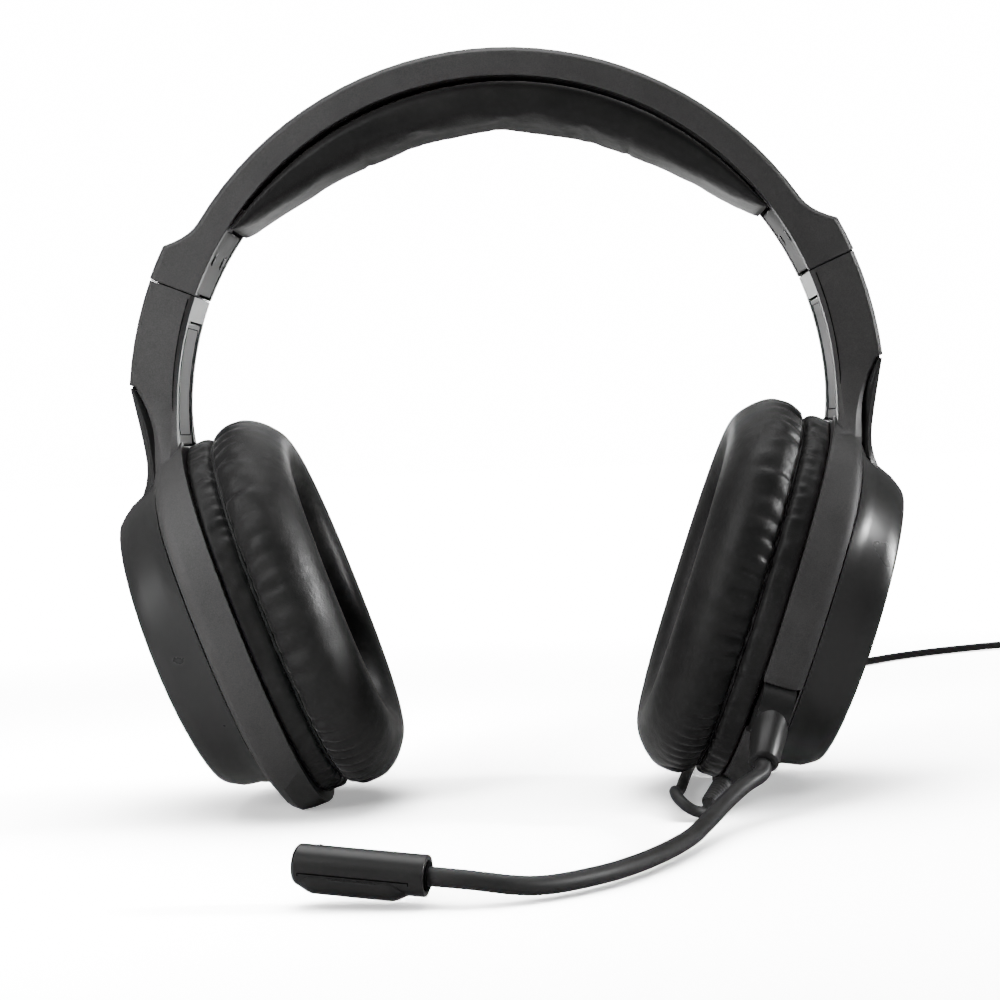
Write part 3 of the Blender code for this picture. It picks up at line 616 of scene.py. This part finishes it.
def blended(grid, row, column, closed_rows):
    """Reads a coarse grid between its points."""
    rows = len(grid)
    columns = len(grid[0])
    r0 = int(row)
    c0 = int(column)
    r1 = (r0 + 1) % rows if closed_rows else min(r0 + 1, rows - 1)
    c1 = (c0 + 1) % columns
    fr = row - r0
    fc = column - c0
    r0 %= rows
    c0 %= columns
    near = grid[r0][c0].lerp(grid[r0][c1], fc)
    far = grid[r1][c0].lerp(grid[r1][c1], fc)
    return near.lerp(far, fr)


# The pad's section, as rows of (plane, change of half height, change of half width), round from the shell.
PAD_ROWS = [
    (SHELL_PLANE - 0.0004, -0.0018, -0.0012),
    (PAD_SEAM_PLANE + 0.0036, -0.0014, -0.0009),
    (PAD_SEAM_PLANE + 0.0012, -0.0018, -0.0014),
    (PAD_SEAM_PLANE, -0.0034, -0.0030),
    (PAD_SEAM_PLANE - 0.0012, -0.0014, -0.0011),
    (PAD_SEAM_PLANE - 0.0046, 0.0002, 0.0003),
    (PAD_SEAM_PLANE - 0.0090, 0.0000, 0.0002),
    (PAD_FACE_PLANE + 0.0048, -0.0024, -0.0020),
    (PAD_FACE_PLANE + 0.0014, -0.0068, -0.0062),
    (PAD_FACE_PLANE + 0.0006, -0.0112, -0.0104),
    (PAD_FACE_PLANE + 0.0022, -0.0160, -0.0150),
    (PAD_FACE_PLANE + 0.0068, -0.0187, -0.0175),
    (PAD_SEAM_PLANE - 0.0030, -0.0186, -0.0174),
    (PAD_SEAM_PLANE + 0.0010, -0.0172, -0.0158),
    (PAD_SEAM_PLANE + 0.0014, -0.0120, -0.0110),
    (SHELL_PLANE - 0.0006, -0.0056, -0.0052),
]


# Each fold as (count round the pad, depth, reach from the seam, seed).
SKIRT_FOLDS = (66, 0.0009, 0.0026, 17.0)
CUSHION_FOLDS = (56, 0.0019, 0.0068, 3.0)
WRINKLE_DEPTH = 0.00075
WRINKLE_REACH = 0.0075


def pad_ring(side, plane, height, width, count):
    half_height = CUP_HALF_HEIGHT - 0.0012 + height
    half_width = CUP_HALF_WIDTH - 0.0006 + width
    ring = []
    for index in range(count):
        up, y = oval_point(2 * math.pi * index / count, half_height, half_width)
        ring.append(in_cup(side, plane, up, y))
    return ring


def make_ear_pad(side, name):
    """A crowned leatherette ring on its skirt, gathered on both sides of the seam between them."""
    count = 400
    rows = 88
    coarse_rows = 32
    coarse_count = 64
    coarse = spline_values(PAD_ROWS, coarse_rows)
    swell = None
    grid = [pad_ring(side, *values, coarse_count) for values in coarse]
    held = [values[0] > PAD_SEAM_PLANE - 0.0006 for values in coarse]
    swell = stuffed(grid, held, closed_rings=True)
    rings = []
    for row, (plane, height, width) in enumerate(spline_values(PAD_ROWS, rows)):
        from_seam = plane - PAD_SEAM_PLANE
        outside = height > -0.0075
        folds, fold_depth, reach, seed = SKIRT_FOLDS if from_seam > 0 else CUSHION_FOLDS
        depth = 0.0
        if outside:
            depth = fold_depth * math.exp(-((from_seam / reach) ** 2))
            depth *= min(1.0, 0.35 + abs(from_seam) / 0.0012)
        ring = []
        for index, point in enumerate(pad_ring(side, plane, height, width, count)):
            angle = 2 * math.pi * index / count
            middle = in_cup(side, plane, 0.0, 0.0)
            outwards = (point - middle).normalized()
            pucker = gather(angle, seed, folds) * depth
            soft = 0.00032 * noise.noise(point * 70.0) + 0.00012 * noise.noise(point * 240.0)
            place = Vector((math.cos(angle) * 15.0, math.sin(angle) * 15.0, from_seam * 160.0))
            wrinkle = 0.0
            if outside:
                wrinkle = WRINKLE_DEPTH * noise.noise(place)
                wrinkle *= math.exp(-((from_seam / WRINKLE_REACH) ** 2))
            moved = point + outwards * (pucker + soft + wrinkle)
            if swell:
                moved += blended(swell, row * coarse_rows / rows, index * coarse_count / count, True)
            ring.append(moved)
        rings.append(ring)
    pad = loft(f"ear_pad_{name}_leather", rings, closed=True)
    finish_piece(pad, LOOKS["leatherette"], f"cup_{name}", "leatherette", f"ear_pad_{name}")


def make_seam_cord(side, name):
    """The piped seam between the pad's skirt and its cushion."""
    points = []
    for index in range(180):
        angle = 2 * math.pi * index / 180
        up, y = oval_point(angle, CUP_HALF_HEIGHT - 0.0044, CUP_HALF_WIDTH - 0.0034)
        wander = 0.0003 * noise.noise(Vector((math.cos(angle) * 6, math.sin(angle) * 6, 4.0)))
        points.append(in_cup(side, PAD_SEAM_PLANE + wander, up, y))
    curve = curve_tube(f"pad_seam_{name}", points, 0.0005, 2)
    curve.data.splines[0].use_cyclic_u = True
    curve.data.use_fill_caps = False
    finish_piece(curve, LOOKS["leatherette"], f"cup_{name}", "leatherette")


MESH_PLANE = 0.0750
MESH_THICKNESS = 0.0008
MESH_HALF_HEIGHT = 0.0322
MESH_HALF_WIDTH = 0.0247


def make_ear_mesh(side, name):
    """The acoustic cloth over the driver, bowed slightly towards the ear."""
    rings = []
    rows = [(MESH_PLANE + MESH_THICKNESS, 1.0)]
    for share in (1.0, 0.97, 0.9, 0.75, 0.55, 0.35, 0.15, 0.02):
        bow = 0.0016 * (1 - share**2)
        rows.append((MESH_PLANE - bow, share))
    for level, share in rows:
        ring = []
        for index in range(64):
            angle = 2 * math.pi * index / 64
            up, y = oval_point(angle, MESH_HALF_HEIGHT * share, MESH_HALF_WIDTH * share)
            ring.append(in_cup(side, level, up, y))
        rings.append(ring)
    cloth = loft(f"ear_mesh_{name}_cloth", rings)
    finish_piece(cloth, LOOKS["mesh_black"], f"cup_{name}", "mesh_black", f"ear_mesh_{name}")


def on_arc(radius, degrees, y=0.0):
    angle = math.radians(degrees)
    return ARC_CENTRE + Vector((radius * math.cos(angle), y, radius * math.sin(angle)))


def on_side(side, degrees):
    """An angle on the +X side's arm, or its mirror image on the other side's."""
    return degrees if side > 0 else 180 - degrees


CUSHION_START = 36
CUSHION_SPAN = 108
CUSHION_CREASES = (63.0, 117.0)


def cushion_ring(degrees, around):
    away = abs(degrees - 90) / (CUSHION_SPAN / 2)
    end = min(1.0, (1 - away) / 0.05)
    depth = (0.0086 * (1 - away**3.2) + 0.0014) * (0.35 + 0.65 * math.sqrt(max(0.0, 1 - (1 - end) ** 2)))
    share = abs(degrees - 90) / (90 - SEAM_ANGLE)
    half_width = BAND_HALF_WIDTH - (BAND_HALF_WIDTH - ARM_HALF_WIDTH) * share**2 - 0.0006
    top = BAND_INNER - 0.0003 * share**2 - 0.0004
    ring = []
    for step in range(around):
        angle = 2 * math.pi * step / around
        c = math.cos(angle)
        s = math.sin(angle)
        y = half_width * math.copysign(abs(c) ** 0.42, c)
        deep = 0.5 + 0.5 * math.copysign(abs(s) ** 0.62, s)
        ring.append(on_arc(top - depth * deep, degrees, y))
    return ring


def make_head_cushion():
    """The padded leatherette strip under the crown, crowned across, thin at its ends."""
    along = 170
    around = 56
    coarse_along = 54
    coarse_around = 24
    swell = None
    stations = [CUSHION_START + CUSHION_SPAN * i / coarse_along for i in range(coarse_along + 1)]
    grid = [cushion_ring(degrees, coarse_around) for degrees in stations]
    held = [index in (0, coarse_along) for index in range(coarse_along + 1)]
    swell = stuffed(grid, held, closed_rings=False)
    rings = []
    for index in range(along + 1):
        degrees = CUSHION_START + CUSHION_SPAN * index / along
        crease = sum(math.exp(-(((degrees - place) / 0.5) ** 2)) for place in CUSHION_CREASES)
        ring = []
        for step, point in enumerate(cushion_ring(degrees, around)):
            inwards = (on_arc(0.0, degrees, point.y) - point).normalized()
            is_under = math.sin(2 * math.pi * step / around) > 0
            soft = 0.0005 * noise.noise(Vector((degrees * 0.14, point.y * 90, 2.0)))
            fine = 0.00015 * noise.noise(point * 300.0)
            moved = point + inwards * ((soft + fine - 0.0005 * crease) if is_under else 0.0)
            if swell and is_under:
                coarse_row = index * coarse_along / along
                coarse_column = step * coarse_around / around
                moved += 0.7 * blended(swell, coarse_row, coarse_column, False)
            ring.append(moved)
        rings.append(ring)
    cushion = loft("headband_cushion_leather", rings)
    finish_piece(cushion, LOOKS["leatherette"], "headband", "leatherette", "headband_cushion")


# --- small moulded details ----------------------------------------------------------------------
def thin_line(name, points, body, radius=0.00014):
    """A parting line: a hair-thin dark groove where two mouldings meet."""
    line = curve_tube(name, points, radius, 1)
    finish_piece(line, GROOVE, body, "rubber")


def turned(name, profile, centre, axis, steps=48):
    """A surface of revolution: profile holds (radius, distance along the axis)."""
    turn = Vector(axis).to_track_quat("Z", "Y").to_matrix()
    rings = []
    for radius, distance in profile:
        ring = []
        for index in range(steps):
            angle = 2 * math.pi * index / steps
            point = Vector((radius * math.cos(angle), radius * math.sin(angle), distance))
            ring.append(Vector(centre) + turn @ point)
        rings.append(ring)
    return loft(name, rings)


def make_screw(side, name, row, y):
    """A countersunk screw, seen as a dark hole with the head down inside it, all drawn in painted shade."""
    degrees = on_side(side, 30)
    outwards = on_arc(1.0, degrees) - on_arc(0.0, degrees)
    face = BAND_INNER - 0.0002
    profile = [(0.0006, 0.0001), (0.0018, 0.0001), (0.0019, 0.0003), (0.0017, 0.0005), (0.0004, 0.0005)]
    hole = turned(f"screw_hole_{name}_{row}", profile, on_arc(face - 0.0001, degrees, y), outwards)
    finish_piece(hole, GROOVE, "headband", "steel", f"slider_screw_{name}_{row}")


def make_arm_lines(side, name):
    """Parting lines along the arm and round the panel let into its inner cover."""
    front = -0.0136
    edge = []
    for index in range(30):
        a = 22 - 0.8 * index
        edge.append(on_arc(0.0848 - 0.0012 * (22.0 - a) / 24.0, on_side(side, a), front))
    thin_line(f"arm_line_{name}", edge, f"cup_{name}")
    corners = [(17.2, -0.0084), (17.2, 0.0084), (-1.5, 0.0084), (-1.5, -0.0084)]
    panel = []
    for index, (degrees, y) in enumerate(corners):
        after = corners[(index + 1) % 4]
        for step in range(16):
            share = 0.04 + 0.92 * step / 15
            a = degrees + (after[0] - degrees) * share
            across = y + (after[1] - y) * share
            radius = 0.0835 - 0.0010 * (SEAM_ANGLE - a) / (SEAM_ANGLE + 10) + 0.0003
            panel.append(on_arc(radius - 0.00002, on_side(side, a), across))
    thin_line(f"panel_line_{name}", panel + [panel[0]], f"cup_{name}", 0.00016)


RELIEF_START = (0.0500, -0.0245, 0.0046)


def make_relief():
    """The ribbed sleeve that keeps the cable from kinking where it leaves the cup."""
    start = shifted(RELIEF_START)
    run = shifted(CABLE_ROUTE[0]) - start
    length = run.length
    profile = [(0.0008, 0.0), (0.0025, 0.0001), (0.0025, length * 0.18), (0.0022, length * 0.21)]
    for rib in range(7):
        along = length * (0.24 + 0.106 * rib)
        radius = 0.00245 - 0.00006 * rib
        profile += [(0.0016, along), (radius - 0.0001, along + 0.0002), (radius, along + 0.0005)]
        profile += [(radius - 0.0001, along + 0.0009), (0.0016, along + 0.0011)]
    profile += [(0.0017, length - 0.0002), (0.0014, length)]
    relief = turned("strain_relief_ribs", profile, start, run, 32)
    finish_piece(relief, LOOKS["rubber"], "cup_left", "rubber", "strain_relief")


def make_seam_shade_plates(side, name):
    """Dark plates a little inside the arm's two seams, painted shade for their unlit depth, which also keep light
    from showing through.
    """
    sizes = [
        ("seam", 22.72, 22.88, 0.0131, 0.0839, 0.0954),
        ("notch", 5.80, 6.30, 0.0128, 0.0900, 0.0944),
    ]
    for label, low, high, half_width, inner, outer in sizes:
        rings = []
        for degrees in (low, high):
            corners = ((-half_width, inner), (half_width, inner), (half_width, outer), (-half_width, outer))
            rings.append([on_arc(radius, on_side(side, degrees), y) for y, radius in corners])
        finish_piece(loft(f"{label}_seam_shade_plate_{name}", rings), GROOVE, f"cup_{name}", "rubber")


def mic_point(along, angle, lift=0.0):
    """A point on the microphone capsule: angle in degrees from straight up, towards the viewer."""
    turn = math.radians(angle)
    radius = MIC_RADIUS + lift
    around = MIC_UP * radius * math.cos(turn) - MIC_SIDE * radius * math.sin(turn)
    return shifted(MIC_START + MIC_AXIS * along + around)


def make_mic_details():
    """The capsule's parting line, the small latch slot at its free end and the cable's seat, a ring of painted
    shade where the gooseneck enters.
    """
    for facing in (1, -1):
        path = [mic_point(0.0258, 112 * facing)]
        path += [mic_point(0.0258 - 0.0228 * i / 12, 104 * facing) for i in range(13)]
        path.append(mic_point(0.0030, 112 * facing))
        thin_line(f"mic_line_{'front' if facing > 0 else 'rear'}", path, "microphone", 0.00016)
    slot = [mic_point(0.0270 - 0.0007 * step, 38) for step in range(7)]
    slot += [mic_point(0.0226, 38 - 8 * step) for step in range(5)]
    thin_line("mic_slot", slot, "microphone", 0.00018)
    seat = turned(
        "mic_cable_seat",
        [(0.0021, 0.0), (0.0029, 0.0), (0.0029, 0.0006), (0.0021, 0.0006)],
        shifted(MIC_START) - MIC_AXIS * 0.0003,
        MIC_AXIS,
    )
    finish_piece(seat, GROOVE, "microphone", "rubber")


def make_port_cover():
    """The cover of the sound port: a plate that hugs the capsule's underside and thickens to a flat keel."""
    middle = 0.0150
    half_length = 0.0112
    rings = []
    for station in range(25):
        offset = half_length * (station / 12 - 1)
        rise = min(1.0, (half_length - abs(offset)) / 0.0026)
        half_angle = 68 - 26 * (1 - rise)
        outer = []
        inner = []
        for step in range(19):
            share = step / 9 - 1
            keel = min(1.0, 1.6 * (1 - abs(share)))
            lift = 0.00012 + 0.00128 * rise * keel
            outer.append(mic_point(middle + offset, 180 + half_angle * share, lift))
            inner.append(mic_point(middle + offset, 180 + half_angle * share, 0.00004))
        rings.append(outer + inner[::-1])
    cover = loft("mic_port_cover_plate", rings)
    cover.data.set_sharp_from_angle(angle=math.radians(35))
    finish_piece(cover, BOOM_LOOK, "microphone", "satin_black", "mic_port_cover")


# --- moulded shells -----------------------------------------------------------------------------
def refined(node, body, slot_name, bevel=0.0004, look=None):
    """A copy of a CAD piece with eased edges and smooth shading, which stands for it."""
    bm = bmesh.new()
    bm.from_mesh(frame["nodes"][node].data)
    bmesh.ops.remove_doubles(bm, verts=bm.verts, dist=0.00002)
    flat = math.radians(0.3)
    bmesh.ops.dissolve_limit(bm, angle_limit=flat, verts=bm.verts, edges=bm.edges)
    piece = object_from(f"{node}_shell", bm)
    modifier = piece.modifiers.new("eased", "BEVEL")
    modifier.width = bevel
    modifier.segments = 2
    modifier.limit_method = "ANGLE"
    modifier.angle_limit = math.radians(32)
    modifier.harden_normals = True
    piece.data.set_sharp_from_angle(angle=math.radians(40))
    finish_piece(piece, look or LOOKS[slot_name], body, slot_name, node)


def paint_frame():
    """Every CAD piece that stays gets its procedural material."""
    for part in frame["record"]["subparts"]:
        node = frame["nodes"][part["node"]]
        node.data.materials.clear()
        node.data.materials.append(LOOKS[part["material_slot"]])


def make_shells():
    refined("headband_shell", "headband", "shell_black", 0.0003)
    for name in ("left", "right"):
        refined(f"arm_frame_{name}", f"cup_{name}", "shell_black", 0.0003)
        refined(f"cup_cap_{name}", f"cup_{name}", "satin_black", 0.0004)
        refined(f"cap_plate_{name}", f"cup_{name}", "satin_black", 0.0003)
        refined(f"arm_cover_{name}", f"cup_{name}", "satin_black", 0.0003)
        refined(f"slider_cover_{name}", "headband", "satin_black", 0.0003)
    refined("boom_sleeve", "boom", "shell_black", 0.0003, BOOM_LOOK)
    refined("mic_capsule", "microphone", "shell_black", 0.0003, BOOM_LOOK)
    refined("volume_wheel", "volume_wheel_body", "rubber", 0.0002)


# --- stage --------------------------------------------------------------------------------------
# The camera sees a floor far brighter than the one that lights the object. Its tone is darker close to the
# object, a painted contact shadow from ambient occlusion, and its glow rises away from it to the dome's own.
FLOOR_GREY = 0.35
FLOOR_TONE = 10.0
SHADOW_REACH = 0.12
SHADOW_OPENNESS = 0.30
SHADOW_SHARE = 0.10
GLOW_START = 0.25
GLOW_END = 0.9
GLOW_NEAR = 0.4
GLOW_FAR = 16.0
FLOOR_HALF_SIZE = 8.0
DOME_RADIUS = 7.0
# (how far forward or back, brightness)
STUDIO_FRONT = (-0.25, 0.09)
STUDIO_BACK = (0.9, 3.6)


def floor_material():
    white = bpy.data.materials.new("white_floor")
    white.use_nodes = True
    nodes = white.node_tree.nodes
    links = white.node_tree.links
    nodes.remove(nodes["Principled BSDF"])
    diffuse = nodes.new("ShaderNodeBsdfDiffuse")
    tone = nodes.new("ShaderNodeMix")
    tone.data_type = "RGBA"
    tone.inputs["A"].default_value = (FLOOR_GREY, FLOOR_GREY, FLOOR_GREY, 1.0)
    # Painted contact shadow: ambient occlusion darkens the camera's tone of the floor near the object.
    occlusion = nodes.new("ShaderNodeAmbientOcclusion")
    occlusion.inputs["Distance"].default_value = SHADOW_REACH
    openness = nodes.new("ShaderNodeMapRange")
    openness.interpolation_type = "SMOOTHSTEP"
    openness.inputs["From Min"].default_value = SHADOW_OPENNESS
    openness.inputs["To Min"].default_value = SHADOW_SHARE
    links.new(occlusion.outputs["AO"], openness.inputs["Value"])
    camera_tone = nodes.new("ShaderNodeMath")
    camera_tone.operation = "MULTIPLY"
    camera_tone.inputs[1].default_value = FLOOR_TONE
    links.new(openness.outputs["Result"], camera_tone.inputs[0])
    links.new(camera_tone.outputs["Value"], tone.inputs["B"])
    path = nodes.new("ShaderNodeLightPath")
    links.new(path.outputs["Is Camera Ray"], tone.inputs["Factor"])
    links.new(tone.outputs["Result"], diffuse.inputs["Color"])
    glow = nodes.new("ShaderNodeEmission")
    floor_place = nodes.new("ShaderNodeTexCoord")
    distance = nodes.new("ShaderNodeVectorMath")
    distance.operation = "LENGTH"
    links.new(floor_place.outputs["Object"], distance.inputs[0])
    far = nodes.new("ShaderNodeMapRange")
    far.interpolation_type = "SMOOTHSTEP"
    far.inputs["From Min"].default_value = GLOW_START
    far.inputs["From Max"].default_value = GLOW_END
    far.inputs["To Min"].default_value = GLOW_NEAR
    far.inputs["To Max"].default_value = GLOW_FAR
    links.new(distance.outputs["Value"], far.inputs["Value"])
    seen_glow = nodes.new("ShaderNodeMath")
    seen_glow.operation = "MULTIPLY"
    links.new(far.outputs["Result"], seen_glow.inputs[0])
    links.new(path.outputs["Is Camera Ray"], seen_glow.inputs[1])
    links.new(seen_glow.outputs["Value"], glow.inputs["Strength"])
    both = nodes.new("ShaderNodeAddShader")
    links.new(diffuse.outputs["BSDF"], both.inputs[0])
    links.new(glow.outputs["Emission"], both.inputs[1])
    links.new(both.outputs["Shader"], nodes["Material Output"].inputs["Surface"])
    return white


def backdrop_material():
    backdrop = bpy.data.materials.new("white_backdrop")
    backdrop.use_nodes = True
    light = backdrop.node_tree.nodes.new("ShaderNodeEmission")
    light.inputs["Strength"].default_value = GLOW_FAR
    surface = backdrop.node_tree.nodes["Material Output"].inputs["Surface"]
    backdrop.node_tree.links.new(light.outputs["Emission"], surface)
    return backdrop


def make_stage():
    """A pale floor that runs to a white dome, which only the camera sees."""
    bm = bmesh.new()
    bmesh.ops.create_grid(bm, x_segments=1, y_segments=1, size=FLOOR_HALF_SIZE)
    floor = object_from("floor", bm, smooth=False)
    floor.data.materials.append(floor_material())
    bm = bmesh.new()
    bmesh.ops.create_uvsphere(bm, u_segments=48, v_segments=24, radius=DOME_RADIUS)
    wall = object_from("backdrop", bm)
    wall.data.materials.append(backdrop_material())
    wall.visible_diffuse = False
    wall.visible_glossy = False
    wall.visible_transmission = False
    wall.visible_shadow = False


def make_world():
    """A studio that is dark in front and bright behind."""
    world = bpy.data.worlds.new("studio")
    bpy.context.scene.world = world
    world.use_nodes = True
    nodes = world.node_tree.nodes
    links = world.node_tree.links
    background = nodes["Background"]
    place = nodes.new("ShaderNodeTexCoord")
    parts = nodes.new("ShaderNodeSeparateXYZ")
    links.new(place.outputs["Generated"], parts.inputs["Vector"])
    ramp = nodes.new("ShaderNodeMapRange")
    ramp.inputs["From Min"].default_value = STUDIO_FRONT[0]
    ramp.inputs["From Max"].default_value = STUDIO_BACK[0]
    ramp.inputs["To Min"].default_value = STUDIO_FRONT[1]
    ramp.inputs["To Max"].default_value = STUDIO_BACK[1]
    links.new(parts.outputs["Y"], ramp.inputs["Value"])
    links.new(ramp.outputs["Result"], background.inputs["Strength"])


# (name, place, target, size, power, spread in degrees, whether it shows in reflections)
LAMPS = [
    ("key", (-0.42, -0.40, 0.26), (-0.10, 0.05, 0.09), 0.34, 0.80, 44, False),
    ("soft", (-0.80, -0.60, 0.70), (0.0, 0.05, 0.08), 0.8, 4.0, 180, True),
    ("right", (0.95, 0.03, 0.32), (0.085, 0.04, 0.05), 0.45, 0.62, 14, True),
    ("top", (0.0, 0.25, 1.3), (0.0, 0.05, 0.1), 1.2, 16.0, 180, True),
    ("inside_of_left_arm", (0.05, 0.25, 0.17), (-0.080, 0.052, 0.136), 0.05, 0.045, 18, True),
    ("inside_of_right_arm", (-0.05, 0.25, 0.17), (0.080, 0.052, 0.136), 0.05, 0.045, 18, True),
]


def make_light(name, place, target, size, power, spread, glossy):
    data = bpy.data.lights.new(name, "AREA")
    data.shape = "SQUARE"
    data.size = size
    data.energy = power
    data.spread = math.radians(spread)
    lamp = bpy.data.objects.new(name, data)
    lamp.location = place
    lamp.visible_camera = False
    lamp.visible_glossy = glossy
    lamp.rotation_euler = (Vector(target) - Vector(place)).to_track_quat("-Z", "Y").to_euler()
    bpy.context.scene.collection.objects.link(lamp)


paint_frame()
make_cable()
make_gooseneck()
for cup_side, cup_name in ((1, "left"), (-1, "right")):
    make_ear_pad(cup_side, cup_name)
    make_seam_cord(cup_side, cup_name)
    make_ear_mesh(cup_side, cup_name)
    make_arm_lines(cup_side, cup_name)
    make_seam_shade_plates(cup_side, cup_name)
    make_screw(cup_side, cup_name, "front", -0.0070)
    make_screw(cup_side, cup_name, "rear", 0.0070)
make_head_cushion()
make_relief()
make_mic_details()
make_port_cover()
make_shells()
make_stage()
make_world()
for lamp_settings in LAMPS:
    make_light(*lamp_settings)
